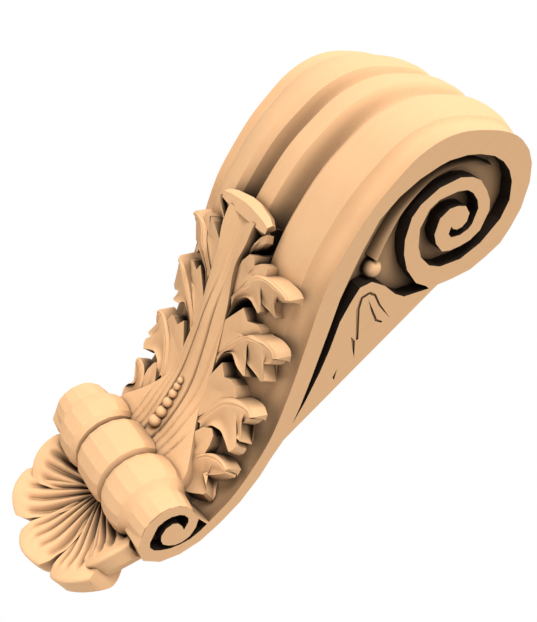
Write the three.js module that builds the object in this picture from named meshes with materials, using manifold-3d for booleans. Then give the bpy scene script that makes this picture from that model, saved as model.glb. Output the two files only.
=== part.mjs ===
// Scroll corbel: one carved piece, an S-shaped bracket with a large volute at the top,
// an acanthus leaf down its front, a turned roll at its foot and a palmette under the roll.
// Millimetres. X runs across, -Y is the carved front, +Y is the wall, +Z is up.
// The origin is the middle of the flat strip of the back, which is the face on the wall.
import * as THREE from "three";
import { mergeVertices } from "three/addons/utils/BufferGeometryUtils.js";
import Module from "manifold-3d";

const wasm = await Module();
wasm.setup();

// Main sizes. The scroll is drawn at 400 high and 154.6 wide, and its outlines, its leaf and its
// palmette follow when the height or the width changes.
const scroll_height = 400;
const half_width = 77.3;
const strip_height = 159.4;
const recess_depth = 11;
const leaf_rise = 31;
const strip_half = strip_height / 2;
const tall = scroll_height / 400;
const wide = half_width / 77.3;
const deep = leaf_rise / 31;
const roll_y = -19 * tall;
const roll_z = -183.7 * tall;

// Front mouldings: three rounds and a hollow along each edge
const groove_middle = 19.5 * wide;
const groove_height = 0;
const centre_rise = 16;
const side_middle = 39 * wide;
const side_rise = 15.5;
const side_fall = 9;
const side_edge = 60 * wide;
const hollow_drop = 2;

function drawn(outline) {
  // An outline drawn as [y, z] for the 400 mm scroll, at the scroll's own height
  return outline.map(([y, z]) => [y * tall, z * tall]);
}

// Side outline, as [y, z]
const front_line = drawn([
  [5.8, -161], [5.2, -139], [-0.8, -113.9], [-11.7, -86], [-32.9, -52.8], [-55.6, -22.5],
  [-77.2, 5.4], [-91.5, 28.3], [-101.2, 52.8], [-108, 75.2], [-110.9, 95], [-112.3, 113.8],
  [-110, 128.6], [-104.9, 142.1], [-96.7, 154.2], [-82.7, 167.7], [-67, 179.8], [-51, 187.3],
  [-34.7, 189.3],
]);
const crown_line = drawn([
  [-22.1, 186.8], [-8, 179], [6.7, 164], [14.5, 149.2], [18.9, 136.8],
  [17.9, 121.3], [15.5, 106.5], [6.5, 89.7],
]).concat([[0, strip_half]]);
const foot_line = [[0, -strip_half]].concat(drawn([
  [5.4, -97.4], [10.6, -111.3], [15.7, -135.7], [16.4, -157.2], [14.5, -176.8],
  [8.1, -192.9], [-2.4, -205.4], [-17.7, -210.7], [-32, -204.7], [-42.3, -187.1],
  [-40.6, -173.6], [-35.3, -164.8], [-22.3, -159.7], [-7.2, -162.3],
]));

const front_curve = new THREE.CatmullRomCurve3(
  front_line.map(([y, z]) => new THREE.Vector3(0, y, z)), false, "centripetal");
front_curve.arcLengthDivisions = 400;
front_curve.updateArcLengths();
const front_length = front_curve.getLength();

function front_point(s, x, h) {
  // Point at arc length s up the front, x across, h out from the edge line
  const t = THREE.MathUtils.clamp(s / front_length, 0, 1);
  const p = front_curve.getPointAt(t);
  const d = front_curve.getTangentAt(t);
  const over = s - t * front_length;
  return new THREE.Vector3(x, p.y + d.y * over - d.z * h, p.z + d.z * over + d.y * h);
}

function leaf_point([s, x, h]) {
  // The same for a point of the leaf, which follows the height, the width and the leaf's rise
  return front_point(s * tall, x * wide, h * deep);
}

function smooth(a, b, t) {
  return THREE.MathUtils.smoothstep(t, a, b);
}

function arch(t) {
  // 1 at 0 and 0 at 1, with a broad top and sloping sides
  return (1 - 0.12 * Math.min(1, t) ** 2) * (1 - smooth(0.36, 1, t));
}

function moulding(a) {
  // Height of the front over its edge line, at a from the middle
  if (a < groove_middle) return groove_height + (centre_rise - groove_height) * arch(a / groove_middle);
  if (a < side_middle) {
    const t = (side_middle - a) / (side_middle - groove_middle);
    return groove_height + (side_rise - groove_height) * arch(t);
  }
  if (a < side_edge) return side_rise - side_fall * ((a - side_middle) / (side_edge - side_middle)) ** 2;
  const t = Math.min(1, (a - side_edge) / (half_width - side_edge));
  return (side_rise - side_fall) * (1 - t) ** 5 - hollow_drop * Math.sin(Math.PI * t) ** 0.8;
}

function crown_share(s) {
  // The rounds are shallower over the crown than down the front
  return 1 - 0.5 * smooth(0.6, 0.89, s / front_length);
}

function solid_from(geometry) {
  const g = geometry.clone();
  g.deleteAttribute("normal");
  g.deleteAttribute("uv");
  const m = mergeVertices(g, 1e-4);
  return new wasm.Manifold(new wasm.Mesh({
    numProp: 3,
    vertProperties: new Float32Array(m.attributes.position.array),
    triVerts: new Uint32Array(m.index.array),
  }));
}

function geometry_of(points, faces) {
  const g = new THREE.BufferGeometry();
  g.setAttribute("position", new THREE.Float32BufferAttribute(points.flatMap((p) => [p.x, p.y, p.z]), 3));
  g.setIndex(faces.flat());
  return g;
}

// Body: a skin of stations up the front and over the crown, closed by the two side
// faces and by plain strips down the back and round the foot
function body() {
  const inner = [0, 0.4, 0.6, 0.8, 1].map((t) => t * groove_middle);
  const middle = [0.2, 0.4, 0.6, 1].map((t) => groove_middle + t * (side_middle - groove_middle));
  const hollow = [0.25, 1].map((t) => side_edge + t * (half_width - side_edge));
  const half_columns = [...inner, ...middle, side_edge, ...hollow];
  const columns = half_columns.slice(1).map((x) => -x).reverse().concat(half_columns);
  const rows = [];
  const steps = 22;
  for (let i = 0; i <= steps; i++) {
    const s = (front_length * i) / steps;
    rows.push(columns.map((x) => front_point(s, x, moulding(Math.abs(x)) * crown_share(s))));
  }
  for (let i = 0; i < crown_line.length; i++) {
    const [y, z] = crown_line[i];
    const before = i ? crown_line[i - 1] : front_line[front_line.length - 1];
    const after = crown_line[Math.min(i + 1, crown_line.length - 1)];
    const along = new THREE.Vector2(after[0] - before[0], after[1] - before[1]).normalize();
    const fade = crown_share(front_length) * (1 - smooth(2, 6.5, i));
    rows.push(columns.map((x) => {
      const h = moulding(Math.abs(x)) * fade;
      return new THREE.Vector3(x, y - along.y * h, z + along.x * h);
    }));
  }
  const points = rows.flat();
  const faces = [];
  const n = columns.length;
  for (let r = 0; r < rows.length - 1; r++) {
    for (let c = 0; c < n - 1; c++) {
      const a = r * n + c;
      faces.push([a, a + 1, a + n + 1], [a, a + n + 1, a + n]);
    }
  }
  const left = rows.map((row, r) => r * n);
  const right = rows.map((row, r) => r * n + n - 1);
  const last = (rows.length - 1) * n;
  let previous = Array.from({ length: n }, (unused, c) => last + c);
  for (const [y, z] of foot_line) {
    const a = points.push(new THREE.Vector3(-half_width, y, z)) - 1;
    const b = points.push(new THREE.Vector3(half_width, y, z)) - 1;
    for (let c = 0; c < previous.length - 1; c++) {
      faces.push([previous[c], previous[c + 1], b]);
    }
    faces.push([previous[0], b, a]);
    left.push(a);
    right.push(b);
    previous = [a, b];
  }
  for (let c = 0; c < n - 1; c++) faces.push([c + 1, c, previous[0]]);
  faces.push([previous[0], previous[1], n - 1]);
  const flat = right.map((i) => new THREE.Vector2(points[i].y, points[i].z));
  for (const [i, j, k] of THREE.ShapeUtils.triangulateShape(flat, [])) {
    faces.push([right[i], right[j], right[k]], [left[i], left[k], left[j]]);
  }
  return geometry_of(points, faces);
}

// Side carving, cut the same way into both faces: the long recess with the volute left
// standing in it, as [y, z] outlines
const recess_outer = drawn([
  [-6, -67.1], [-13.9, -53.9], [-26.3, -36], [-39.9, -17.5], [-53.1, 0.4], [-66.7, 18.3],
  [-75.5, 33.1], [-86, 52], [-95.5, 72.9], [-97.5, 92.7], [-95.6, 110.5], [-90.9, 126.9],
  [-87.6, 134.8], [-78.5, 147.6], [-69.5, 156.1], [-57.4, 164.4], [-46, 168.4], [-34.9, 169.3],
  [-23.9, 167.2], [-10.2, 159], [-2.1, 145.8], [1.1, 123.5], [-2.5, 104.4], [-13.2, 88.9],
  [-23.3, 82.7], [-36.3, 81.2], [-46.6, 84], [-59.4, 92], [-66.5, 105.3], [-66.1, 114.8],
  [-58.7, 128.8], [-52.1, 135.5], [-45.5, 137.9], [-36.7, 138], [-29.5, 135.7], [-21.7, 125.6],
  [-20.9, 121.2], [-22.7, 113.8], [-28, 107.3], [-32.9, 107.1], [-36.5, 111.8],
]);
const recess_inner = drawn([
  [-33.3, 111.8], [-29.6, 114.1], [-27.6, 118.2], [-28.3, 123.6], [-32.8, 128.1], [-41.2, 128.5],
  [-47.5, 123.5], [-51.5, 117.5], [-51.6, 107.7], [-43.4, 98.2], [-35, 95.6], [-24, 96.2],
  [-18.2, 101.5], [-13.5, 109.6], [-10.1, 118.2], [-10, 128.5], [-18.7, 142.1], [-26.5, 146],
  [-37.1, 147.6], [-49.7, 147.3], [-58.3, 143.2], [-67, 135.6], [-75, 119.1], [-76.6, 101.7],
  [-73.7, 91.6], [-62.5, 79], [-51.8, 72.4], [-37.6, 67.9], [-19.7, 67.6], [-8.7, 72.3],
  [-4, 73], [-12.2, 62.8], [-18.5, 54.8], [-28.1, 50.8], [-42.6, 48.6], [-55.9, 43.2],
  [-60.5, 34.1], [-56, 21.7], [-49.9, 8.3], [-36.6, -9.6], [-26.2, -25.9], [-13.9, -48.8],
]);

function side_prism(outline, depth) {
  // A prism cut in from the right side face; mirrored for the left one
  const shape = new THREE.Shape(outline.map(([y, z]) => new THREE.Vector2(y, z)));
  const g = new THREE.ExtrudeGeometry(shape, { depth: depth + 5, bevelEnabled: false });
  g.applyMatrix4(new THREE.Matrix4().set(
    0, 0, 1, half_width - depth, 1, 0, 0, 0, 0, 1, 0, 0, 0, 0, 0, 1));
  return solid_from(g);
}

function both_sides(solid) {
  return solid.add(solid.mirror([1, 0, 0]));
}

function side_recess() {
  return side_prism(recess_outer.concat(recess_inner), recess_depth);
}

// The groove that rolls up on each end of the foot, widening as it goes
function foot_groove() {
  const outer = drawn([
    [5.7, -163], [5.7, -170.3], [3.9, -179.3], [-0.1, -186.6], [-5.3, -192.9], [-12.1, -197.8],
    [-17.2, -200], [-22.6, -199.7], [-26.7, -196.5], [-33.1, -183.5], [-32.2, -177.2],
    [-29.7, -172.1], [-24.8, -167.8], [-20.2, -166.2], [-15.2, -166.5], [-11.9, -169], [-9, -175.8],
  ]);
  const inner = drawn([
    [-14, -174], [-19.5, -173.9], [-23.2, -176.1], [-24.9, -181.8], [-22.9, -187.9],
    [-19.2, -191.3], [-14.6, -192.8], [-9.5, -191.7], [-4, -188.8], [-0.5, -184.2],
    [1.3, -177.3], [-1.2, -169.3], [-6, -163],
  ]);
  return side_prism(outer.concat(inner), recess_depth);
}

// Roll: three barrels turned about X with creases between, and a plain collar at each end
function roll() {
  const collar_end = half_width - 0.5;
  const half = [
    [0, 31.5], [13, 31], [18, 29], [21.5, 24.5], [23.5, 28], [36, 32], [46, 31.5],
    [53, 29], [57, 25], [58.5, 24], [68, 23.4],
  ].map(([x, r]) => [x * wide, r * tall]).concat([[collar_end, 22 * tall]]);
  const line = half.slice(1).map(([x, r]) => [-x, r]).reverse().concat(half);
  const profile = [[-collar_end, 0], ...line, [collar_end, 0]];
  const g = new THREE.LatheGeometry(profile.map(([x, r]) => new THREE.Vector2(r, x)), 16);
  g.rotateZ(-Math.PI / 2);
  g.translate(0, roll_y - 2 * tall, roll_z + 2 * tall);
  return solid_from(g);
}

// A solid from points and faces that all wind the same way, whichever way that is
function outward(points, faces) {
  const solid = solid_from(geometry_of(points, faces));
  if (solid.volume() > 0) return solid;
  return solid_from(geometry_of(points, faces.map(([a, b, c]) => [a, c, b])));
}

// A closed shell from a grid of top points and matching bottom points
function shell(top, bottom) {
  const rows = top.length;
  const n = top[0].length;
  const points = top.flat().concat(bottom.flat());
  const under = rows * n;
  const faces = [];
  const quad = (a, b, c, d) => faces.push([a, b, c], [a, c, d]);
  for (let r = 0; r < rows - 1; r++) {
    for (let c = 0; c < n - 1; c++) {
      const a = r * n + c;
      quad(a, a + 1, a + n + 1, a + n);
      quad(under + a, under + a + n, under + a + n + 1, under + a + 1);
    }
  }
  for (let r = 0; r < rows - 1; r++) {
    const a = r * n;
    quad(a, a + n, under + a + n, under + a);
    const b = a + n - 1;
    quad(b + n, b, under + b, under + b + n);
  }
  for (let c = 0; c < n - 1; c++) {
    quad(c + 1, c, under + c, under + c + 1);
    const b = (rows - 1) * n + c;
    quad(b, b + 1, under + b + 1, under + b);
  }
  return outward(points, faces);
}

// Leaf: a thick stem that narrows upward, with a shallow valley along its upper end
function stem() {
  const top = [];
  const bottom = [];
  const across = [-1, -0.7, -0.35, -0.14, 0, 0.14, 0.35, 0.7, 1];
  for (let s = -6; s <= 216; s += 18.5) {
    const spread = 31.5 * (1 - smooth(0, 75, s)) + 7 * (1 - smooth(75, 150, s)) + 3 * (1 - smooth(150, 185, s));
    const half = 12.5 + spread + 4 * smooth(185, 206, s);
    const end = smooth(140, 200, s);
    top.push(across.map((v) => {
      const a = Math.abs(v);
      const rib = a < 0.1 ? 2 : a < 0.2 ? -1 : 0;
      return leaf_point([s, v * half, 31 - 8 * end + rib * (1 - end) + (11 * end - 6) * a ** 1.6]);
    }));
    bottom.push(across.map((v) => leaf_point([s, v * (half + 3), -8])));
  }
  return shell(bottom, top);
}

// Guides of each hooded lobe, as [s, x, h]: its crest, the line behind the crest, and its free
// edge in runs, with a finger's tip or a notch between each run and the next
const lobes = [
  {
    crest: [
      [161, 17, 26], [167, 20, 27], [174, 26, 27.5], [181, 34, 28], [187, 37, 28], [190, 42, 27],
      [191, 49, 25.5], [190, 54, 24], [189, 60, 21.5], [187, 63, 19.5],
    ],
    behind: [
      [164, 15, 25], [175, 24, 26], [183, 29, 26.5], [189, 33, 26], [193, 41, 25], [194, 50, 24],
      [193, 56, 22], [191, 62, 19.5], [188, 66, 18],
    ],
    edge: [
      [[142, 17, 25], [153, 18, 26], [163, 21, 26.5], [170, 28, 27], [173, 33, 27], [173, 37, 26],
        [170, 40, 24], [166, 44, 22]],
      [[169, 46, 22], [172, 45, 22.5], [176, 41, 23]],
      [[173, 45, 20], [171, 52, 17.5], [169, 55, 16]],
      [[170, 57, 16], [175, 54, 17], [181, 53, 18.5]],
      [[182, 56, 18.5], [184, 60, 18.5], [187, 64, 18.5]],
    ],
  },
  {
    crest: [
      [108, 19, 25], [120, 25, 26], [130, 33, 27], [140, 40, 28], [147, 48, 28], [149, 55, 26.5],
      [150, 60, 24], [148, 65, 21], [143, 68, 18],
    ],
    behind: [
      [112, 17, 24], [122, 22, 25], [138, 33, 26], [146, 42, 26], [152, 50, 26], [153, 57, 24.5],
      [153, 63, 22], [149, 69, 18], [145, 71, 17],
    ],
    edge: [
      [[92, 20, 25], [104, 21, 25.5], [119, 25, 26.5], [125, 32, 27], [127, 36, 27], [121, 44, 26],
        [118, 52, 24.5]],
      [[119, 54, 24.5], [123, 51, 24.5], [131, 43, 25]],
      [[127, 51, 22.5], [124, 59, 20], [121, 64, 18]],
      [[124, 67, 18], [130, 64, 19], [136, 62, 20.5]],
      [[137, 65, 19.5], [140, 68, 18], [143, 69, 17.5]],
    ],
  },
  {
    crest: [
      [55, 32, 25], [67, 37, 26], [78, 42, 26.5], [86, 47, 26.5], [92, 55, 25.5], [95, 62, 24],
      [96, 67, 23], [94, 71, 22.5],
    ],
    behind: [
      [53, 26, 24], [66, 30, 25], [80, 36, 25.5], [89, 41, 25.5], [97, 50, 25], [100, 60, 23],
      [100, 68, 22], [96, 73, 21],
    ],
    edge: [
      [[42, 37, 24], [54, 38, 25], [58, 40, 25.5], [62, 43, 25.5], [64, 48, 25], [65, 53, 24.5],
        [63, 58, 24], [57, 68, 22.5]],
      [[61, 71, 22.5], [66, 71, 22.5], [70, 66, 22.5]],
      [[71, 68, 22.5], [71, 72, 22]],
      [[72, 73, 22], [77, 67, 22], [83, 63, 22.5]],
      [[85, 66, 22.5], [90, 70, 22.5], [94, 72, 22]],
    ],
  },
  {
    crest: [
      [20, 44, 22], [32, 49, 23], [38, 53, 22.5], [42, 60, 21.5], [43, 66, 20.5], [42, 72, 19],
    ],
    behind: [
      [22, 40, 22], [33, 45, 23], [41, 51, 22], [46, 58, 21], [47, 66, 19.5], [45, 73, 18],
    ],
    edge: [
      [[4, 46, 22], [4, 56, 18], [12, 67, 15]],
      [[15, 68, 15], [21, 64, 18], [26, 58, 20]],
      [[27, 60, 19], [33, 66, 18], [41, 73, 18]],
    ],
  },
]
const hood_thick = 12;

function lobe(guides) {
  const edge = guides.edge.flat();
  const along = (line, share) => {
    const i = Math.min(line.length - 2, Math.floor(share * (line.length - 1)));
    const t = share * (line.length - 1) - i;
    return line[i].map((v, k) => v + (line[i + 1][k] - v) * t);
  };
  const top = [[], [], [], []];
  const bottom = [[], [], [], []];
  edge.forEach((tip, i) => {
    const share = i / (edge.length - 1);
    const crest = along(guides.crest, share);
    const behind = along(guides.behind, share);
    const inner = 1 - smooth(0.45, 0.6, share);
    const low = [behind[0] + 2, behind[1] + 0.5, (behind[2] - hood_thick) * (1 - inner) - 8 * inner];
    [low, behind, crest, tip].forEach(([s, x, h], row) => {
      const back = [6, 3, 0, 2][row];
      top[row].push(leaf_point([s, x, h]));
      bottom[row].push(leaf_point([s - back, x, h - (row ? hood_thick : 0.5)]));
    });
  });
  return shell(top, bottom);
}

// The leaflets that stand between the hoods, each with two square ends, as the [s, x, h] of
// their outlines from the stem round to the lobe below
const leaflets = [
  [[166, 8, 20], [182, 11, 23], [191, 16, 26], [200, 25, 29], [201, 30, 28.5], [195, 31, 27], [199, 36, 25.5],
  [199, 42, 25], [190, 44, 24], [184, 36, 25], [174, 24, 25], [156, 10, 20]],
  [[128, 8, 20], [141, 14, 24], [163, 31, 25], [155, 37, 23], [158, 46, 21.5], [157, 50, 21], [147, 54, 20],
  [140, 44, 24], [128, 28, 25], [108, 12, 20]],
  [[78, 10, 20], [91, 18, 25], [114, 29, 27], [106, 36, 26.5], [109, 43, 26.5], [107, 49, 25], [99, 53, 24],
  [88, 44, 24.5], [74, 36, 25], [50, 22, 20]],
  [[20, 20, 20], [40, 28, 25], [56, 38, 26], [60, 44, 24], [56, 48, 23], [48, 50, 23], [36, 50, 22], [24, 42, 22],
  [4, 34, 18]],
  [[188, 10, 18], [198, 15, 22], [206, 21, 25], [213, 28, 27.5], [216, 32, 27], [211, 32, 25],
    [204, 25, 22], [196, 16, 18]],
]

function leaflet(outline, index) {
  const n = outline.length;
  const middle = [0, 1, 2].map((k) => outline.reduce((sum, p) => sum + p[k], 0) / n);
  // The last one, under the tip, is a thin leaf; the others stand on the block
  const foot = ([s, x, h]) => leaf_point([s, x, index < 4 ? -8 : h - 6]);
  const points = [leaf_point(middle), foot(middle)];
  outline.forEach((p) => points.push(leaf_point(p), foot(p)));
  const faces = [];
  for (let i = 0; i < n; i++) {
    const a = 2 + 2 * i;
    const b = 2 + 2 * ((i + 1) % n);
    faces.push([0, a, b], [1, b + 1, a + 1], [a, a + 1, b + 1], [a, b + 1, b]);
  }
  return outward(points, faces);
}

// The tip of the leaf, rolled over forward into a thick lip that thins to its ends
function tip() {
  const section = [[-7, -8], [-8.5, -1], [-4.5, 6], [3, 6.5], [7, 0], [6, -6], [3, -9]];
  const across = [-1, -0.7, -0.27, 0.27, 0.7, 1];
  const grid = (point) => section.map((p) => across.map((v) => leaf_point(point(p, v))));
  const top = grid(([ds, dh], v) => {
    const full = 1 - 0.5 * Math.abs(v) ** 2.5;
    return [219 - 1.5 * v * v + ds * full, 30 * v, 20.5 + 3 * v * v + dh * full];
  });
  const bottom = grid((p, v) => [216, 28.5 * v, 14 + 8 * v * v]);
  return shell(top, bottom);
}

function leaf() {
  const sides = [...lobes.map(lobe), ...leaflets.map(leaflet)];
  return sides.reduce((whole, side) => whole.add(both_sides(side)), stem().add(tip()));
}

// Six beads up the middle of the stem, each smaller than the last
function beads() {
  const row = [];
  const count = 6;
  let s = 27;
  for (let i = 0; i < count; i++) {
    const radius = 5.3 - 0.52 * i;
    const ball = new THREE.SphereGeometry(radius * tall, 8, 5);
    const at = leaf_point([s, 0, 33.2]);
    ball.translate(at.x, at.y, at.z);
    row.push(solid_from(ball));
    s += radius * 2 + 1 - 0.1 * i;
  }
  return row.reduce((whole, bead) => whole.add(bead));
}

// Ball and husk standing in the floor of the side recess
function husk() {
  const floor = half_width - recess_depth;
  const ball = new THREE.SphereGeometry(7 * tall, 10, 6);
  ball.translate(floor + 4 * tall, -59.5 * tall, 50.2 * tall);
  const knots = drawn([[-66.4, 55], [-75, 72], [-82, 93], [-81, 123], [-63, 151], [-45, 162]])
    .map(([y, z]) => new THREE.Vector3(floor, y, z));
  const path = new THREE.CatmullRomCurve3(knots);
  const top = [];
  const bottom = [];
  const steps = 8;
  for (let i = 0; i <= steps; i++) {
    const t = i / steps;
    const p = path.getPointAt(t);
    const d = path.getTangentAt(t);
    const w = (3.6 * (1 - t) ** 0.6 + 1.2) * tall;
    const out = new THREE.Vector3(0, d.z, -d.y);
    const side = (k, rise) => p.clone().addScaledVector(out, k * w).add(new THREE.Vector3(rise, 0, 0));
    top.push([side(-1, 0), side(0, 7 - 3 * t), side(1, 0)]);
    bottom.push([side(-1, -3), side(0, -3), side(1, -3)]);
  }
  return both_sides(solid_from(ball).add(shell(bottom, top)));
}

// Palmette under the roll: five fluted petals fanned out, each with its end rolled forward
function palmette() {
  const turns = [-70, -42, 0, 42, 70];
  const reaches = [66, 76, 73, 76, 66];
  const across = [-1, -0.55, -0.2, 0.2, 0.55, 1];
  const over = [[0, 0.2, 4], [0.3, 0.5, 8], [0.78, 0.97, 15], [0.9, 1, 21], [0.99, 0.92, 22], [1.04, 0.78, 15]];
  const under = [[0, 0.2, -16], [0.3, 0.5, -12], [0.84, 0.95, -8], [0.95, 0.92, -6], [1.03, 0.8, 0], [1.06, 0.74, 8]];
  const half = 21;
  const petals = turns.map((degrees, i) => {
    const turn = THREE.MathUtils.degToRad(degrees);
    const at = ([along, w, out], v, flute) => {
      const r = (along - 0.05 * v * v) * reaches[i];
      const a = v * w * half;
      const rise = out + flute - 5 * v * v;
      return new THREE.Vector3(
        (Math.sin(turn) * r + Math.cos(turn) * a) * wide,
        roll_y + (14 - rise - 6 * along) * tall,
        roll_z + (-22 - Math.cos(turn) * r + Math.sin(turn) * a) * tall);
    };
    const top = over.map((p, k) => across.map((v, c) => at(p, v, k > 2 ? 0 : c % 2 ? -1.5 : 1.5)));
    const bottom = under.map((p) => across.map((v) => at(p, v, 0)));
    return shell(top, bottom);
  });
  return petals.reduce((whole, petal) => whole.add(petal));
}

let carved = solid_from(body());
carved = carved.add(roll());
carved = carved.subtract(both_sides(side_recess()));
carved = carved.subtract(both_sides(foot_groove()));
carved = carved.add(husk());
carved = carved.add(leaf());
carved = carved.add(beads());
carved = carved.add(palmette());

// The outer skin alone, so that no pocket is left sealed where the carvings overlap
carved = carved.decompose().reduce((best, piece) => (piece.volume() > best.volume() ? piece : best));

const out = carved.getMesh();
const shape = new THREE.BufferGeometry();
const positions = [];
for (let i = 0; i < out.vertProperties.length; i += out.numProp) {
  positions.push(out.vertProperties[i], out.vertProperties[i + 1], out.vertProperties[i + 2]);
}
shape.setAttribute("position", new THREE.Float32BufferAttribute(positions, 3));
shape.setIndex(Array.from(out.triVerts));
shape.computeVertexNormals();

const mesh = new THREE.Mesh(shape, new THREE.MeshStandardMaterial({ color: 0xe0b27c }));
mesh.name = "scroll_corbel";
const group = new THREE.Group();
group.name = "corbel";
group.add(mesh);

export default group;
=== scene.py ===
"""Scroll corbel: one carved block of pale wood with a side volute, moulded crown, acanthus leaf,
turned roll and palmette. Sizes are in millimetres in the frame of the CAD model: X across,
-Y the carved front, +Y the wall, +Z up. Meshes are made in metres."""
import math

import bmesh
import bpy
import numpy as np
from mathutils import Matrix, Vector


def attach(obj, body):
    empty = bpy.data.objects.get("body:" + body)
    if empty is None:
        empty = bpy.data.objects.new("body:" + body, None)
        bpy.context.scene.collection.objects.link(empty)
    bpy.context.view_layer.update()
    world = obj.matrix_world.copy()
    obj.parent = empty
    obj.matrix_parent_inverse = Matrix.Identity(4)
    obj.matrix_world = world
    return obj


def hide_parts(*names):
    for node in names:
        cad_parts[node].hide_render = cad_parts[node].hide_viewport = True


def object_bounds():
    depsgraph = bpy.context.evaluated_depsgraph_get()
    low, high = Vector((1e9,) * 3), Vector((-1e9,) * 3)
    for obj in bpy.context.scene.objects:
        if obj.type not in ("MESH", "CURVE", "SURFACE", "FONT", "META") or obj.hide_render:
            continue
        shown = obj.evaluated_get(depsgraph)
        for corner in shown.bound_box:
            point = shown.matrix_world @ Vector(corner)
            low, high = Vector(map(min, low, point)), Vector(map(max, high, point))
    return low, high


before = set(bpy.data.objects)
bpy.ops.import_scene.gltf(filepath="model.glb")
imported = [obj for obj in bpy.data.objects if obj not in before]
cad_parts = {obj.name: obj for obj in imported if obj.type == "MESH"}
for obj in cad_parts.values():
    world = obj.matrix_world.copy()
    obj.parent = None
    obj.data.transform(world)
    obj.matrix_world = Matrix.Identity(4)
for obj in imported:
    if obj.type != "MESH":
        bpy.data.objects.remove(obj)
cad_low, cad_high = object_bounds()
mm = 0.001

# Camera
# A 58 mm lens about 0.8 m away, 42 degrees round to the right and level with the corbel,
# rolled clockwise so that the corbel lies across the picture from corner to corner.
camera_data = bpy.data.cameras.new("camera")
camera_data.sensor_width = 36
camera_data.lens = 57.88
camera = bpy.data.objects.new("camera", camera_data)
bpy.context.scene.collection.objects.link(camera)
camera_right = Vector((0.5311, 0.4709, 0.7044))
camera_up = Vector((-0.5174, -0.4781, 0.7098))
camera_back = camera_right.cross(camera_up)
camera_place = Vector((511.62, -590.12, -28.25)) * mm
turned = Matrix((camera_right, camera_up, camera_back)).transposed().to_4x4()
camera.matrix_world = Matrix.Translation(camera_place) @ turned
bpy.context.scene.camera = camera

# Block
# The S-shaped block itself, sawn to its outline from one thick board of fine-grained wood and
# moulded along its whole front: three rounds with deep sloping grooves between them, and a
# shallow hollow with a plain rim along each side.
half_width = cad_high.x / mm
strip_half = 79.7
groove_middle = 19.5
groove_height = 0
centre_rise = 16
side_middle = 39
side_rise = 15.5
side_edge = 60
side_fall = 9
hollow_drop = 2

# Each round dips by the first share of its height, and its shoulder starts at the second share
# of its half width.
round_dip = 0.12
round_flat = 0.36

# Between these arc lengths up the front the rounds lose this share of their height.
crown_from = 245
crown_to = 362
crown_loss = 0.5

# The side outline as [y, z]: up the front, over the crown down to the strip that lies on the
# wall, and from the strip down round the foot to the front again.
front_line = [
    (5.8, -161), (5.2, -139), (-0.8, -113.9), (-11.7, -86), (-32.9, -52.8), (-55.6, -22.5),
    (-77.2, 5.4), (-91.5, 28.3), (-101.2, 52.8), (-108, 75.2), (-110.9, 95), (-112.3, 113.8),
    (-110, 128.6), (-104.9, 142.1), (-96.7, 154.2), (-82.7, 167.7), (-67, 179.8),
    (-51, 187.3), (-34.7, 189.3),
]
crown_line = [
    (-22.1, 186.8), (-8, 179), (6.7, 164), (14.5, 149.2), (18.9, 136.8),
    (17.9, 121.3), (15.5, 106.5), (6.5, 89.7), (0, strip_half),
]
foot_line = [
    (0, -strip_half), (5.4, -97.4), (10.6, -111.3), (15.7, -135.7), (16.4, -157.2),
    (14.5, -176.8), (8.1, -192.9), (-2.4, -205.4), (-17.7, -210.7), (-32, -204.7),
    (-42.3, -187.1), (-40.6, -173.6), (-35.3, -164.8), (-22.3, -159.7), (-7.2, -162.3),
]


def smooth(low, high, t):
    """0 below low, 1 above high and an even slope between"""
    t = np.clip((np.asarray(t, float) - low) / (high - low), 0, 1)
    return t * t * (3 - 2 * t)


def flowing(points, per_span=16):
    """A smooth line through the points, as many short steps (centripetal Catmull-Rom)"""
    p = np.array(points, float)
    p = np.vstack([2 * p[0] - p[1], p, 2 * p[-1] - p[-2]])
    t = np.linspace(0, 1, per_span, endpoint=False)[:, None]
    line = []
    for a, b, c, d in zip(p, p[1:], p[2:], p[3:]):
        spans = [max(math.dist(u, v) ** 0.5, 1e-6) for u, v in ((a, b), (b, c), (c, d))]
        before, here, after = spans
        leave = (b - a) / before - (c - a) / (before + here) + (c - b) / here
        arrive = (c - b) / here - (d - b) / (here + after) + (d - c) / after
        m, n = leave * here, arrive * here
        line.append(b + m * t + (3 * (c - b) - 2 * m - n) * t**2 + (2 * (b - c) + m + n) * t**3)
    return np.vstack([*line, p[-2]])


front = flowing(front_line, 40)
front_arc = np.concatenate([[0], np.cumsum(np.hypot(*np.diff(front, axis=0).T))])
front_length = front_arc[-1]
front_heading = np.gradient(front, front_arc, axis=0)
front_heading /= np.linalg.norm(front_heading, axis=1)[:, None]


def on_front(s, x, h):
    """Points at arc length s up the front, x across, h out from the edge line"""
    s, x, h = np.broadcast_arrays(*(np.asarray(v, float) for v in (s, x, h)))
    y, z = (np.interp(s, front_arc, front[:, i]) for i in (0, 1))
    dy, dz = (np.interp(s, front_arc, front_heading[:, i]) for i in (0, 1))
    over = s - np.clip(s, 0, front_length)
    return np.stack([x, y + dy * over - dz * h, z + dz * over + dy * h], axis=-1)


def arch(t):
    """1 at 0 and 0 at 1, with a broad top and sloping sides"""
    return (1 - round_dip * np.clip(t, 0, 1) ** 2) * (1 - smooth(round_flat, 1, t))


def moulding(across):
    """Height of the front over its edge line, for distances across from the middle"""
    a = np.abs(np.asarray(across, float))
    centre = groove_height + (centre_rise - groove_height) * arch(a / groove_middle)
    up_side = (side_middle - a) / (side_middle - groove_middle)
    inner = groove_height + (side_rise - groove_height) * arch(up_side)
    down_side = np.clip((a - side_middle) / (side_edge - side_middle), 0, 1)
    outer = side_rise - side_fall * down_side**2
    t = np.clip((a - side_edge) / (half_width - side_edge), 0, 1)
    hollow = (side_rise - side_fall) * (1 - t) ** 5 - hollow_drop * np.sin(math.pi * t) ** 0.8
    places = [a < groove_middle, a < side_middle, a < side_edge]
    return np.select(places, [centre, inner, outer], hollow)


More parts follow.
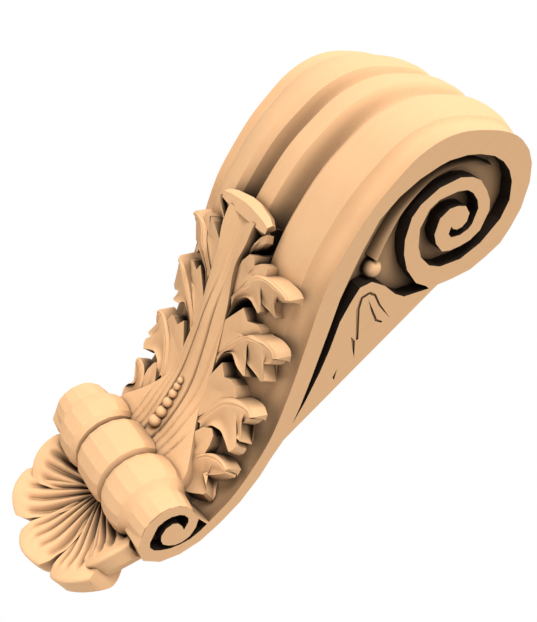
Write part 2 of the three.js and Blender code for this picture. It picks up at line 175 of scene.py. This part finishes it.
def crown_share(s):
    """The rounds are shallower over the crown than down the front"""
    return 1 - crown_loss * smooth(crown_from, crown_to, s)


def solid(name, points, faces):
    """A closed mesh object from points in millimetres"""
    mesh = bpy.data.meshes.new(name)
    mesh.from_pydata((np.asarray(points, float) * mm).tolist(), [], faces)
    made = bpy.data.objects.new(name, mesh)
    bpy.context.scene.collection.objects.link(made)
    work = bmesh.new()
    work.from_mesh(mesh)
    bmesh.ops.remove_doubles(work, verts=work.verts, dist=1e-6)
    bmesh.ops.triangulate(work, faces=work.faces)
    bmesh.ops.recalc_face_normals(work, faces=work.faces)
    if work.calc_volume(signed=True) < 0:
        bmesh.ops.reverse_faces(work, faces=work.faces)
    work.to_mesh(mesh)
    work.free()
    return made


def grid_faces(rows, n):
    """Four-sided faces between the neighbours in a grid of points with n to a row"""
    return [(r * n + c, r * n + c + 1, (r + 1) * n + c + 1, (r + 1) * n + c)
            for r in range(rows - 1) for c in range(n - 1)]


def block():
    """The block with its moulded front, its plain back and its flat side faces"""
    half = [0, 3, 6, 8.5, 10.5, 12.5, 14.5, 16.5, 18, 19, groove_middle, 20, 21, 22.5, 24.5, 28, 33,
            side_middle, 46, 52, 57, side_edge, 60.8, 62, 63.5, 65.5, 68, 71, 74, half_width]
    across = np.array([-x for x in half[:0:-1]] + half)
    steps = 60
    rows = []
    for s in np.linspace(0, front_length, steps + 1):
        rows.append(on_front(s, across, moulding(across) * crown_share(s)))
    whole = [front_line[-1], *crown_line]
    for i, (y, z) in enumerate(crown_line):
        ahead = crown_line[min(i + 1, len(crown_line) - 1)]
        way = np.subtract(ahead, whole[i])
        way /= np.linalg.norm(way)
        fade = crown_share(front_length) * (1 - smooth(2, 6.5, i))
        h = moulding(across) * fade
        rows.append(np.stack([across, y - way[1] * h, z + way[0] * h], axis=-1))
    n = len(across)
    count = len(rows)
    points = list(np.vstack(rows))
    faces = grid_faces(count, n)
    left = [r * n for r in range(count)]
    right = [r * n + n - 1 for r in range(count)]
    previous = list(range((count - 1) * n, count * n))
    for y, z in foot_line:
        a, b = len(points), len(points) + 1
        points += [np.array([-half_width, y, z]), np.array([half_width, y, z])]
        faces.append((*previous, b, a))
        left.append(a)
        right.append(b)
        previous = [a, b]
    faces.append((*previous, *range(n - 1, -1, -1)))
    faces.append(tuple(left))
    faces.append(tuple(reversed(right)))
    return solid("block", points, faces)


carved = block()

# Roll
# Three plump barrels turned in one with creases between them and a plain collar at each end,
# left in broad flats by the turning gouge. The foot of the S curls round the middle given first,
# and the axis of the barrels lies a little in front of it and above.
roll_y = -19
roll_z = -183.7
barrel_y = roll_y - 2
barrel_z = roll_z + 2
roll_flats = 18
roll_line = [
    (0, 31.5), (13, 31), (18, 29), (21.5, 24.5), (23.5, 28), (28, 30.5), (36, 32), (46, 31.5),
    (53, 29), (57, 25), (58.5, 24), (68, 23.4), (half_width - 0.5, 22),
]


def join(base, others, operation="UNION"):
    """Carves base with the other solids, or adds them to it, and clears them away"""
    for other in others:
        step = base.modifiers.new("step", "BOOLEAN")
        step.operation = operation
        step.solver = "MANIFOLD"
        step.object = other
    bpy.context.view_layer.update()
    seen = base.evaluated_get(bpy.context.evaluated_depsgraph_get())
    mesh = bpy.data.meshes.new_from_object(seen)
    base.modifiers.clear()
    old, base.data = base.data, mesh
    bpy.data.meshes.remove(old)
    for other in others:
        bpy.data.objects.remove(other)
    return base


def roll():
    """The barrels and collars as one ring of flats round their axis"""
    line = [(-x, r) for x, r in roll_line[:0:-1]] + roll_line
    points = []
    for x, r in line:
        for i in range(roll_flats):
            turn = 2 * math.pi * (i + 0.5) / roll_flats
            points.append((x, barrel_y + r * math.sin(turn), barrel_z + r * math.cos(turn)))
    faces = []
    for k in range(len(line) - 1):
        for i in range(roll_flats):
            a = k * roll_flats + i
            b = k * roll_flats + (i + 1) % roll_flats
            faces.append((a, b, b + roll_flats, a + roll_flats))
    last = (len(line) - 1) * roll_flats
    faces += [tuple(range(roll_flats)), tuple(range(last, last + roll_flats))]
    return solid("roll", points, faces)


join(carved, [roll()])

# Side carving
# A recess sunk 11 mm into each side face with a knife-edged spiral left standing in it, cut
# with a router and cleaned up with gouges. The outer line runs round its open mouth and in
# along the spiral, and the inner line comes back out.
recess_depth = 11
cutter_clear = 4
recess_outer = [
    (-6, -67.1), (-13.9, -53.9), (-26.3, -36), (-39.9, -17.5), (-53.1, 0.4), (-66.7, 18.3),
    (-75.5, 33.1), (-86, 52), (-95.5, 72.9), (-97.5, 92.7), (-95.6, 110.5), (-90.9, 126.9),
    (-87.6, 134.8), (-78.5, 147.6), (-69.5, 156.1), (-57.4, 164.4), (-46, 168.4),
    (-34.9, 169.3), (-23.9, 167.2), (-10.2, 159), (-2.1, 145.8), (1.1, 123.5), (-2.5, 104.4),
    (-13.2, 88.9), (-23.3, 82.7), (-36.3, 81.2), (-46.6, 84), (-59.4, 92), (-66.5, 105.3),
    (-66.1, 114.8), (-58.7, 128.8), (-52.1, 135.5), (-45.5, 137.9), (-36.7, 138),
    (-29.5, 135.7), (-21.7, 125.6), (-20.9, 121.2), (-22.7, 113.8), (-28, 107.3),
    (-32.9, 107.1), (-36.5, 111.8),
]
recess_inner = [
    (-33.3, 111.8), (-29.6, 114.1), (-27.6, 118.2), (-28.3, 123.6), (-32.8, 128.1),
    (-41.2, 128.5), (-47.5, 123.5), (-51.5, 117.5), (-51.6, 107.7), (-43.4, 98.2),
    (-35, 95.6), (-24, 96.2), (-18.2, 101.5), (-13.5, 109.6), (-10.1, 118.2), (-10, 128.5),
    (-18.7, 142.1), (-26.5, 146), (-37.1, 147.6), (-49.7, 147.3), (-58.3, 143.2),
    (-67, 135.6), (-75, 119.1), (-76.6, 101.7), (-73.7, 91.6), (-62.5, 79), (-51.8, 72.4),
    (-37.6, 67.9), (-19.7, 67.6), (-8.7, 72.3), (-4, 73), (-12.2, 62.8), (-18.5, 54.8),
    (-28.1, 50.8), (-42.6, 48.6), (-55.9, 43.2), (-60.5, 34.1), (-56, 21.7), (-49.9, 8.3),
    (-36.6, -9.6), (-26.2, -25.9), (-13.9, -48.8),
]


def mirrored(made):
    """The same solid on the other side of the middle"""
    mesh = made.data.copy()
    mesh.transform(Matrix.Scale(-1, 4, (1, 0, 0)))
    mesh.flip_normals()
    other = bpy.data.objects.new(made.name + "_left", mesh)
    bpy.context.scene.collection.objects.link(other)
    return other


def pair(made):
    """A solid with its mirror image"""
    return [made, mirrored(made)]


def cutter(name, outline, depth):
    """A prism standing in from the right side face, to cut with"""
    n = len(outline)
    floor = [(half_width - depth, y, z) for y, z in outline]
    top = [(half_width + cutter_clear, y, z) for y, z in outline]
    sides = [(i, (i + 1) % n, n + (i + 1) % n, n + i) for i in range(n)]
    ends = [tuple(range(n)), tuple(range(2 * n - 1, n - 1, -1))]
    return solid(name, floor + top, ends + sides)


recess_outline = recess_outer + recess_inner
join(carved, pair(cutter("recess", recess_outline, recess_depth)), "DIFFERENCE")

# Foot groove
# The same cut on each end of the roll, where the foot of the S curls up to its middle. It is
# as deep as the recess above.
foot_outer = [
    (5.7, -163), (5.7, -170.3), (3.9, -179.3), (-0.1, -186.6), (-5.3, -192.9), (-12.1, -197.8),
    (-17.2, -200), (-22.6, -199.7), (-26.7, -196.5), (-33.1, -183.5), (-32.2, -177.2),
    (-29.7, -172.1), (-24.8, -167.8), (-20.2, -166.2), (-15.2, -166.5), (-11.9, -169),
    (-9, -175.8),
]
foot_inner = [
    (-14, -174), (-19.5, -173.9), (-23.2, -176.1), (-24.9, -181.8), (-22.9, -187.9),
    (-19.2, -191.3), (-14.6, -192.8), (-9.5, -191.7), (-4, -188.8), (-0.5, -184.2),
    (1.3, -177.3), (-1.2, -169.3), (-6, -163),
]
foot_outline = foot_outer + foot_inner
join(carved, pair(cutter("groove", foot_outline, recess_depth)), "DIFFERENCE")

# Panel
# The panel below the recess is left flush, with a fold cut into it by a veining tool: a thin
# line round its head, a short fold in it and two slits, given by their outlines.
panel_cut_depth = 1.4
panel_cuts = [
    [(-12.4, 37.2), (-31.4, 38), (-43.4, 40), (-49.9, 38), (-52.8, 30.8), (-46, 21.8),
     (-22.3, 7.9), (-21.3, 9.9), (-44.4, 24.6), (-50, 30.8), (-48.2, 36.4), (-43.2, 38.2),
     (-31.4, 36.4)],
    [(-45, 33.6), (-33.9, 31.6), (-22.4, 29.4), (-15.8, 31.6), (-16, 30), (-22.4, 27.4),
     (-33.9, 29.8)],
    [(-29.2, 7.1), (-22.6, 7.3), (-9.3, -1.4), (-18, 2)],
    [(-14.4, -15.8), (-7.7, -22.9), (-11.3, -22.4)],
]
for cut in panel_cuts:
    join(carved, pair(cutter("panel_cut", cut, panel_cut_depth)), "DIFFERENCE")

# Ball and husk
# A small ball at the mouth of the side recess and a thin husk that grows from it up the
# outer wall, both left standing when the recess was sunk.
ball_radius = 7
ball_place = (half_width - recess_depth + 4, -59.5, 50.2)
husk_line = [(-66.4, 55), (-75, 72), (-82, 93), (-81, 123), (-63, 151), (-45, 162)]
husk_rise = 10
husk_end_rise = 5
husk_half = 2.6
husk_end_half = 1.2
husk_root = 3


def ball(name, place, radius, rings=16):
    """A ball round a place in millimetres"""
    work = bmesh.new()
    bmesh.ops.create_uvsphere(work, u_segments=2 * rings, v_segments=rings, radius=radius * mm)
    mesh = bpy.data.meshes.new(name)
    work.to_mesh(mesh)
    work.free()
    mesh.transform(Matrix.Translation(Vector(place) * mm))
    made = bpy.data.objects.new(name, mesh)
    bpy.context.scene.collection.objects.link(made)
    return made


def shell(name, top, bottom):
    """A closed solid between two grids of points that have the same rows and columns"""
    rows, n = top.shape[:2]
    under = rows * n
    points = np.vstack([top.reshape(-1, 3), bottom.reshape(-1, 3)])
    faces = []
    for r in range(rows - 1):
        for c in range(n - 1):
            a = r * n + c
            faces.append((a, a + 1, a + n + 1, a + n))
            faces.append((under + a, under + a + n, under + a + n + 1, under + a + 1))
    edge = list(range(n))
    edge += [r * n + n - 1 for r in range(1, rows)]
    edge += [(rows - 1) * n + c for c in range(n - 2, -1, -1)]
    edge += [r * n for r in range(rows - 2, 0, -1)]
    for a, b in zip(edge, edge[1:] + edge[:1]):
        faces.append((a, under + a, under + b, b))
    return solid(name, points, faces)


def husk():
    """A ridge on the floor of the recess that narrows and sinks towards its end"""
    floor = half_width - recess_depth
    path = flowing(husk_line, 6)
    way = np.gradient(path, axis=0)
    way /= np.linalg.norm(way, axis=1)[:, None]
    t = np.linspace(0, 1, len(path))[:, None]
    wide = husk_half * (1 - t) ** 0.6 + husk_end_half
    v = np.linspace(-1, 1, 9)[None, :]
    y = path[:, :1] + way[:, 1:] * v * wide
    z = path[:, 1:] - way[:, :1] * v * wide
    rise = (husk_rise - (husk_rise - husk_end_rise) * t) * (1 - np.abs(v) ** 1.3)
    top = np.stack([floor + rise, y, z], axis=-1)
    return shell("husk", top, np.stack([floor - husk_root + 0 * rise, y, z], axis=-1))


join(carved, [*pair(ball("recess_ball", ball_place, ball_radius)), *pair(husk())])

# Leaf
# An acanthus leaf carved in high relief up the front: a fluted stem, four hooded lobes a side
# that grow towards the foot, leaflets between them and a tip that rolls over.
leaf_rise = 31
leaf_root = 8
stem_start = -6
stem_end = 216
stem_neck = 12.5
stem_flare = 4

# How the stem widens to the foot, as [more half width, fades from, fades to] along the front
stem_spreads = [(31.5, 0, 75), (7, 75, 150), (3, 150, 185)]

# The outer flutes of the stem, as [place across, shift as they rise, fades from, fades to]
stem_flutes = [(12, 4, 110, 160), (19, 4, 60, 95), (26, 7, 30, 60)]
inner_flute = 5.5
inner_flute_depth = 2
rib_rise = 1.2
rib_half = 3.6


def stem_half(s):
    """Half the width of the stem at arc length s up the front"""
    spread = sum(more * (1 - smooth(start, stop, s)) for more, start, stop in stem_spreads)
    return stem_neck + spread + stem_flare * smooth(185, 206, s)


def groove(x, line, wide):
    """1 along a line across the stem, fading to 0 at its sides"""
    return np.exp(-(((x - line) / wide) ** 2))


def stem_height(s, x):
    """Height of the stem over the front's edge line, with a middle rib and its flutes"""
    a = np.abs(x)
    v = a / stem_half(s)
    end = smooth(130, 190, s)
    h = leaf_rise - 7 * end + 4 * end * v - 5 * (1 - end) * v**2.2
    h = h + rib_rise * np.exp(-((a / rib_half) ** 2)) * (1 - end)
    line = inner_flute + 2.5 * smooth(-5, 60, s) - 4 * smooth(60, 190, s)
    h -= inner_flute_depth * groove(a, line, 1.0) * (1 - 0.8 * end)
    spread = smooth(-10, 90, s)
    for place, shift, start, stop in stem_flutes:
        h -= groove(a, place + shift * spread, 0.9) * (1 - smooth(start, stop, s))
    return h


def stem():
    """The stem from the roll to the tip, rooted in the block"""
    s = np.linspace(stem_start, stem_end, 90)[:, None]
    v = np.linspace(-1, 1, 91)[None, :]
    x = v * stem_half(s)
    top = on_front(s, x, stem_height(s, x))
    bottom = on_front(s, x * 1.1, -leaf_root + 0 * x)
    return shell("stem", top, bottom)


# The guides of each hooded lobe, as [s, x, h]: its crest, the line behind the crest, and its
# free edge in smooth runs, with a corner between each run and the next.
lobes = [
    {
        "crest": [(161, 17, 26), (167, 20, 27), (174, 26, 27.5), (181, 34, 28), (187, 37, 28),
                  (190, 42, 27), (191, 49, 25.5), (190, 54, 24), (189, 60, 21.5), (187, 63, 19.5)],
        "behind": [(164, 15, 25), (175, 24, 26), (183, 29, 26.5), (189, 33, 26), (193, 41, 25),
                   (194, 50, 24), (193, 56, 22), (191, 62, 19.5), (188, 66, 18)],
        "edge": [
            [(142, 17, 25), (153, 18, 26), (163, 21, 26.5), (170, 28, 27), (173, 33, 27),
             (173, 37, 26), (170, 40, 24), (166, 44, 22)],
            [(169, 46, 22), (172, 45, 22.5), (176, 41, 23)],
            [(173, 45, 20), (171, 52, 17.5), (169, 55, 16)],
            [(170, 57, 16), (175, 54, 17), (181, 53, 18.5)],
            [(182, 56, 18.5), (184, 60, 18.5), (187, 64, 18.5)],
        ],
    },
    {
        "crest": [(108, 19, 25), (120, 25, 26), (130, 33, 27), (140, 40, 28), (147, 48, 28),
                  (149, 55, 26.5), (150, 60, 24), (148, 65, 21), (143, 68, 18)],
        "behind": [(112, 17, 24), (122, 22, 25), (138, 33, 26), (146, 42, 26), (152, 50, 26),
                   (153, 57, 24.5), (153, 63, 22), (149, 69, 18), (145, 71, 17)],
        "edge": [
            [(92, 20, 25), (104, 21, 25.5), (119, 25, 26.5), (125, 32, 27), (127, 36, 27),
             (121, 44, 26), (118, 52, 24.5)],
            [(119, 54, 24.5), (123, 51, 24.5), (131, 43, 25)],
            [(127, 51, 22.5), (124, 59, 20), (121, 64, 18)],
            [(124, 67, 18), (130, 64, 19), (136, 62, 20.5)],
            [(137, 65, 19.5), (140, 68, 18), (143, 69, 17.5)],
        ],
    },
    {
        "crest": [(55, 32, 25), (67, 37, 26), (78, 42, 26.5), (86, 47, 26.5), (92, 55, 25.5),
                  (95, 62, 24), (96, 67, 23), (94, 71, 22.5)],
        "behind": [(53, 26, 24), (66, 30, 25), (80, 36, 25.5), (89, 41, 25.5), (97, 50, 25),
                   (100, 60, 23), (100, 68, 22), (96, 73, 21)],
        "edge": [
            [(42, 37, 24), (54, 38, 25), (58, 40, 25.5), (62, 43, 25.5), (64, 48, 25),
             (65, 53, 24.5), (63, 58, 24), (57, 68, 22.5)],
            [(61, 71, 22.5), (66, 71, 22.5), (70, 66, 22.5)],
            [(71, 68, 22.5), (71, 72, 22)],
            [(72, 73, 22), (77, 67, 22), (83, 63, 22.5)],
            [(85, 66, 22.5), (90, 70, 22.5), (94, 72, 22)],
        ],
    },
    {
        "crest": [(20, 44, 22), (32, 49, 23), (38, 53, 22.5), (42, 60, 21.5), (43, 66, 20.5),
                  (42, 72, 19)],
        "behind": [(22, 40, 22), (33, 45, 23), (41, 51, 22), (46, 58, 21), (47, 66, 19.5),
                   (45, 73, 18)],
        "edge": [
            [(4, 46, 22), (4, 56, 18), (12, 67, 15)],
            [(15, 68, 15), (21, 64, 18), (26, 58, 20)],
            [(27, 60, 19), (33, 66, 18), (41, 73, 18)],
        ],
    },
]
hood_thick = 12
cove_depth = 1.8
lobe_flute_depth = 1.5


def lobe(index):
    """A hood that rises from the stem to its crest and drops to a toothed free edge"""
    guides = lobes[index]
    runs = [flowing(run, 5) for run in guides["edge"]]
    edge = np.vstack(runs)
    n = len(edge)
    shares = np.linspace(0, 1, n)
    notch = np.concatenate([np.linspace((k + 1) % 2, k % 2, len(run)) for k, run in enumerate(runs)])

    def beside_edge(points):
        """As many points along a guide as there are along the edge"""
        line = flowing(points, 8)
        places = np.linspace(0, 1, len(line))
        return np.stack([np.interp(shares, places, line[:, i]) for i in range(3)], axis=1)

    crest, behind = beside_edge(guides["crest"]), beside_edge(guides["behind"])
    rows = []
    for v in np.linspace(0, 1, 12):
        p = crest + (edge - crest) * v
        cove = cove_depth * math.sin(math.pi * v**1.5) * (1 - smooth(0.3, 0.6, shares))
        fade = smooth(0.1, 0.6, v) * (1 - smooth(0.85, 1, v)) * smooth(0.35, 0.5, shares)
        flute = lobe_flute_depth * notch * fade
        p[:, 2] -= cove + flute
        rows.append(p)
    between = behind * 0.5 + crest * 0.5 + np.array([0, 0, 0.8])
    inner = 1 - smooth(0.45, 0.6, shares)
    low = behind + np.array([2, 0.5, 0])
    low[:, 2] = (behind[:, 2] - hood_thick) * (1 - inner) - leaf_root * inner
    back = [low, behind, behind * 0.8 + crest * 0.2, between, crest * 0.8 + behind * 0.2]
    top = np.array(back + rows)
    under = top.copy()
    under[1:, :, 2] -= hood_thick
    under[-1, :, 0] -= 2
    under[0] -= np.array([3, 0, 0.5])
    under[:2] -= np.array([3, 0, 0])
    placed = [on_front(g[..., 0], g[..., 1], g[..., 2]) for g in (top, under)]
    return shell(f"lobe_{index}", *placed)


# The leaflets that stand between the hoods, each with two square ends, as the [s, x, h] of
# their outlines from the stem round to the lobe below. The last is the small one under the tip.
leaflets = [
    [(166, 8, 23), (182, 11, 24), (191, 16, 26), (200, 25, 29), (201, 30, 28.5), (195, 31, 27),
     (199, 36, 25.5), (199, 42, 25), (190, 44, 24), (184, 36, 25), (174, 24, 25), (156, 10, 23)],
    [(128, 8, 25), (141, 14, 25.5), (163, 31, 25), (155, 37, 23), (158, 46, 21.5), (157, 50, 21),
     (147, 54, 20), (140, 44, 24), (128, 28, 25), (108, 12, 25)],
    [(78, 10, 25), (91, 18, 26.5), (114, 29, 27), (106, 36, 26.5), (109, 43, 26.5), (107, 49, 25),
     (99, 53, 24), (88, 44, 24.5), (74, 36, 25), (50, 22, 25)],
    [(20, 20, 20), (40, 28, 25), (56, 38, 26), (60, 44, 24), (56, 48, 23), (48, 50, 23),
     (36, 50, 22), (24, 42, 22), (4, 34, 18)],
    [(188, 10, 18), (198, 15, 22), (206, 21, 25), (213, 28, 27.5), (216, 32, 27), (211, 32, 25),
     (204, 25, 22), (196, 16, 18)],
]


def leaflet(index):
    """A flat tongue that slopes away from the stem, with square walls"""
    edge = np.array(leaflets[index], float)
    middle = edge.mean(axis=0)
    rows = [middle + (edge - middle) * v for v in (0.02, 0.5, 1)]
    rows[1][:, 2] += 0.8
    foot = rows[-1].copy()
    under_tip = index == len(leaflets) - 1
    foot[:, 2] = foot[:, 2] - 6 if under_tip else -leaf_root
    ring = np.array([*rows, foot])
    ring = np.concatenate([ring, ring[:, :1]], axis=1)
    placed = on_front(ring[..., 0], ring[..., 1], ring[..., 2])
    rows, n = ring.shape[:2]
    faces = grid_faces(rows, n)
    faces += [tuple(range(n - 1)), tuple((rows - 1) * n + c for c in range(n - 2, -1, -1))]
    return solid(f"leaflet_{index}", placed.reshape(-1, 3), faces)


# The tip's section, as [s, h] from its middle, where it lies and how far it reaches each way
tip_section = [(-7, -8), (-8.5, -1), (-4.5, 6), (3, 6.5), (7, 0), (6, -6), (3, -9)]
tip_place = 219
tip_height = 20.5
tip_half = 29


def tip():
    """The end of the leaf, rolled over forward into a thick faceted lip that thins to its ends"""
    x = np.array([-tip_half, -21, -5, 5, 21, tip_half])[None, :]
    v = x / tip_half
    section = np.array(tip_section)
    full = 1 - 0.5 * np.abs(v) ** 2.5
    s = tip_place - 1.5 * v**2 + section[:, :1] * full
    h = tip_height + 3 * v**2 + section[:, 1:] * full
    top = on_front(s, x, h)
    under = on_front(stem_end + 0 * s, x * 0.95, 14 + 8 * v**2 + 0 * s)
    return shell("tip", top, under)


bead_count = 6
bead_start = 27
bead_radius = 5.3
bead_shrink = 0.52
bead_lift = 2.2
bead_gap = 1.0
bead_gap_shrink = 0.1


def beads():
    """The beads in a row up the middle of the stem, each smaller than the last"""
    made = []
    s = bead_start
    for i in range(bead_count):
        radius = bead_radius - bead_shrink * i
        made.append(ball(f"bead_{i}", on_front(s, 0, leaf_rise + bead_lift), radius, 10))
        s += radius * 2 + bead_gap - bead_gap_shrink * i
    return made


def leaf():
    """Every part of the leaf, on both sides of the middle"""
    parts = [stem(), tip(), *beads()]
    for i in range(len(lobes)):
        parts += pair(lobe(i))
    for i in range(len(leaflets)):
        parts += pair(leaflet(i))
    return parts


join(carved, leaf())

# Palmette
# Five fluted petals fanned out below the roll, each with its end curled forward over itself.
# They are carved from the same block, and their roots lie behind the roll.
petal_turns = (-70, -42, 0, 42, 70)
petal_reach = (66, 76, 73, 76, 66)
petal_half = 21
petal_flute = 4.4

# The outer and inner lines of a petal, as [share of its reach, share of its width, height]
petal_over = [(0, 0.2, 4), (0.3, 0.5, 7), (0.6, 0.82, 8.5), (0.8, 0.97, 13.5), (0.91, 1, 20.5),
              (0.99, 0.92, 22), (1.04, 0.78, 15)]
petal_under = [(0, 0.2, -16), (0.3, 0.5, -12), (0.6, 0.85, -10), (0.84, 0.95, -8), (0.95, 0.92, -6),
               (1.03, 0.8, 0), (1.06, 0.74, 8)]


def petal(index):
    """One petal, turned to its place in the fan round the middle of the foot"""
    turn = math.radians(petal_turns[index])
    reach = petal_reach[index]
    v = np.linspace(-1, 1, 61)[None, :]

    def sheet(line, flute):
        """One side of the petal along its line, with flutes of this height"""
        path = flowing(line, 6)
        along, wide, out = path[:, :1], path[:, 1:2], path[:, 2:3]
        folds = flute * np.abs(np.cos(v * math.pi * 2)) * (1 - smooth(0.81, 0.91, along))
        r = (along - 0.05 * v * v) * reach
        a = v * wide * petal_half
        depth = out + folds - 5 * v * v
        return np.stack([
            math.sin(turn) * r + math.cos(turn) * a,
            roll_y + 14 - depth - 6 * along,
            roll_z - 22 - math.cos(turn) * r + math.sin(turn) * a + 0 * depth,
        ], axis=-1)

    return shell(f"petal_{index}", sheet(petal_over, petal_flute), sheet(petal_under, 0))


join(carved, [petal(i) for i in range(len(petal_turns))])
carved.name = "scroll_corbel_carving"

# Wood
# Bare pale wood such as lime, cut clean by the gouge: matt and honey coloured, with a faint
# fine grain along the board. Shade is painted into its colour: darker in its hollows, and darkest
# on the upright walls of the recess and of the foot groove.
grain_width = 3.85
grain_length = 55.6
# How far the painted shade in the hollows reaches for surfaces that close a point in
painted_shade_reach = 35

# A face counts as part of a cut wall when it lies this near to the outline that was cut.
wall_reach = 0.4


def mark_shaded_walls(mesh):
    """Marks the upright walls of the side recess and foot groove, for painted shade on them"""
    count = len(mesh.polygons)
    centres = np.empty(count * 3)
    normals = np.empty(count * 3)
    mesh.polygons.foreach_get("center", centres)
    mesh.polygons.foreach_get("normal", normals)
    x, y, z = centres.reshape(-1, 3).T / mm
    above_floor = np.abs(x) > half_width - recess_depth + 0.2
    below_face = np.abs(x) < half_width - 0.05
    upright = np.abs(normals[0::3]) < 0.5
    picked = np.flatnonzero(above_floor & below_face & upright)
    here = np.stack([y, z], axis=1)[picked]
    nearest = np.full(len(picked), np.inf)
    for outline in (np.array(recess_outline), np.array(foot_outline)):
        for a, b in zip(outline, np.roll(outline, -1, axis=0)):
            along = np.clip((here - a) @ (b - a) / ((b - a) @ (b - a)), 0, 1)
            away = np.linalg.norm(here - a - along[:, None] * (b - a), axis=1)
            nearest = np.minimum(nearest, away)
    marks = np.zeros(count)
    marks[picked[nearest < wall_reach]] = 1
    mesh.attributes.new("painted_shade_wall", "FLOAT", "FACE").data.foreach_set("value", marks)


def linear(code):
    """A colour's linear values from its sRGB hex code"""
    parts = [int(code[i:i + 2], 16) / 255 for i in (1, 3, 5)]
    return [*(c / 12.92 if c <= 0.04045 else ((c + 0.055) / 1.055) ** 2.4 for c in parts), 1]


def add(tree, kind, settings=(), links=()):
    """Adds one node with its settings, and links other nodes' outputs to its inputs"""
    node = tree.nodes.new(kind)
    for key, value in dict(settings).items():
        if key in node.inputs:
            node.inputs[key].default_value = value
        else:
            setattr(node, key, value)
    for key, source in dict(links).items():
        tree.links.new(source, node.inputs[key])
    return node


def lime_wood():
    """The material of the whole corbel: wood with a fine grain, and painted shade in its hollows and on
    the cut walls
    """
    material = bpy.data.materials.new("lime_wood")
    material.use_nodes = True
    tree = material.node_tree
    shader = tree.nodes["Principled BSDF"]
    shader.inputs["Roughness"].default_value = 0.75
    shader.inputs["Specular IOR Level"].default_value = 0.25
    place = add(tree, "ShaderNodeTexCoord")
    across = 1 / (grain_width * mm)
    along = 1 / (grain_length * mm)
    stretch = add(tree, "ShaderNodeMapping", {"Scale": (across, across, along)},
                  {"Vector": place.outputs["Object"]})
    grain = add(tree, "ShaderNodeTexNoise", {"Scale": 1.0, "Detail": 4.0},
                {"Vector": stretch.outputs[0]})
    colour = add(tree, "ShaderNodeMix", {"data_type": "RGBA"})
    colour.inputs[6].default_value = linear("#f0bd8a")
    colour.inputs[7].default_value = linear("#f6c594")
    tree.links.new(grain.outputs["Fac"], colour.inputs[0])
    # Painted shade in the hollows: the colour is mixed towards near black where nearby surfaces close a
    # point in
    near = add(tree, "ShaderNodeAmbientOcclusion", {"samples": 16, "Distance": painted_shade_reach * mm})
    shade_strength = add(tree, "ShaderNodeMath", {"operation": "POWER"})
    shade_strength.inputs[1].default_value = 1.2
    open_share = add(tree, "ShaderNodeMapRange", {"From Min": 0.2, "From Max": 0.88},
                     {"Value": near.outputs["AO"]})
    tree.links.new(open_share.outputs["Result"], shade_strength.inputs[0])
    hollow_shaded = add(tree, "ShaderNodeMix", {"data_type": "RGBA"})
    hollow_shaded.inputs[6].default_value = linear("#1c1006")
    tree.links.new(shade_strength.outputs[0], hollow_shaded.inputs[0])
    tree.links.new(colour.outputs[2], hollow_shaded.inputs[7])
    # Painted shade on the cut walls: the marked faces are coloured near black
    walls = add(tree, "ShaderNodeAttribute", {"attribute_name": "painted_shade_wall"})
    wall_shaded = add(tree, "ShaderNodeMix", {"data_type": "RGBA"})
    wall_shaded.inputs[7].default_value = linear("#20140a")
    tree.links.new(walls.outputs["Fac"], wall_shaded.inputs[0])
    tree.links.new(hollow_shaded.outputs[2], wall_shaded.inputs[6])
    tree.links.new(wall_shaded.outputs[2], shader.inputs["Base Color"])
    return material


mark_shaded_walls(carved.data)
carved.data.materials.clear()
carved.data.materials.append(lime_wood())

# The flats of the roll stay flat: the faces between these distances from its axis. The rest
# is smooth, but for the edges that the gouge left sharper than the angle.
flats_from = 20
flats_to = 33
sharp_angle = 18
barrel_axis = Vector((barrel_y, barrel_z)) * mm
for face in carved.data.polygons:
    out = (face.center.yz - barrel_axis).length / mm
    on_side_face = abs(face.center.x) >= (half_width - 1) * mm
    face.use_smooth = on_side_face or not flats_from < out < flats_to
carved.data.set_sharp_from_angle(angle=math.radians(sharp_angle))
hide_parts("scroll_corbel")
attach(carved, "root")

# Studio
# A plain pale floor well below the corbel, which hangs at the height of a wall bracket, one
# large soft light in front of it and an even white surround.
floor_mesh = bpy.data.meshes.new("floor")
floor_half = 2
floor_level = -2.2
corners = [(x * floor_half, y * floor_half, floor_level) for x, y in ((-1, -1), (1, -1), (1, 1), (-1, 1))]
floor_mesh.from_pydata(corners, [], [(0, 1, 2, 3)])
floor = bpy.data.objects.new("floor", floor_mesh)
bpy.context.scene.collection.objects.link(floor)
paint = bpy.data.materials.new("white_floor_paint")
paint.use_nodes = True
paint_shader = paint.node_tree.nodes["Principled BSDF"]
paint_shader.inputs["Base Color"].default_value = linear("#fbfbfb")
paint_shader.inputs["Roughness"].default_value = 0.9
floor_mesh.materials.append(paint)

key_data = bpy.data.lights.new("key", "SUN")
key_data.energy = 2.3
key_data.angle = math.radians(18)
key = bpy.data.objects.new("key", key_data)
bpy.context.scene.collection.objects.link(key)
key_from = Vector((0.2, -0.78, 0.57))
key.rotation_mode = "QUATERNION"
key.rotation_quaternion = key_from.to_track_quat("Z", "Y")

world = bpy.data.worlds.new("white_surround")
bpy.context.scene.world = world
world.use_nodes = True
sky_tree = world.node_tree
sky = sky_tree.nodes["Background"]
sky.inputs["Color"].default_value = (1, 1, 1, 1)
ray = add(sky_tree, "ShaderNodeLightPath")
place = add(sky_tree, "ShaderNodeTexCoord")
height = add(sky_tree, "ShaderNodeSeparateXYZ", links={"Vector": place.outputs["Generated"]})
dome_shares = {"From Min": -0.3, "From Max": 0.15, "To Min": 0.05, "To Max": 0.9}
dome = add(sky_tree, "ShaderNodeMapRange", dome_shares, {"Value": height.outputs["Z"]})
sky_light = add(sky_tree, "ShaderNodeMix", {"data_type": "FLOAT"})
sky_light.inputs[3].default_value = 1.0
sky_tree.links.new(ray.outputs["Is Camera Ray"], sky_light.inputs[0])
sky_tree.links.new(dome.outputs["Result"], sky_light.inputs[2])
sky_tree.links.new(sky_light.outputs[0], sky.inputs["Strength"])
bpy.context.scene.view_settings.view_transform = "Standard"
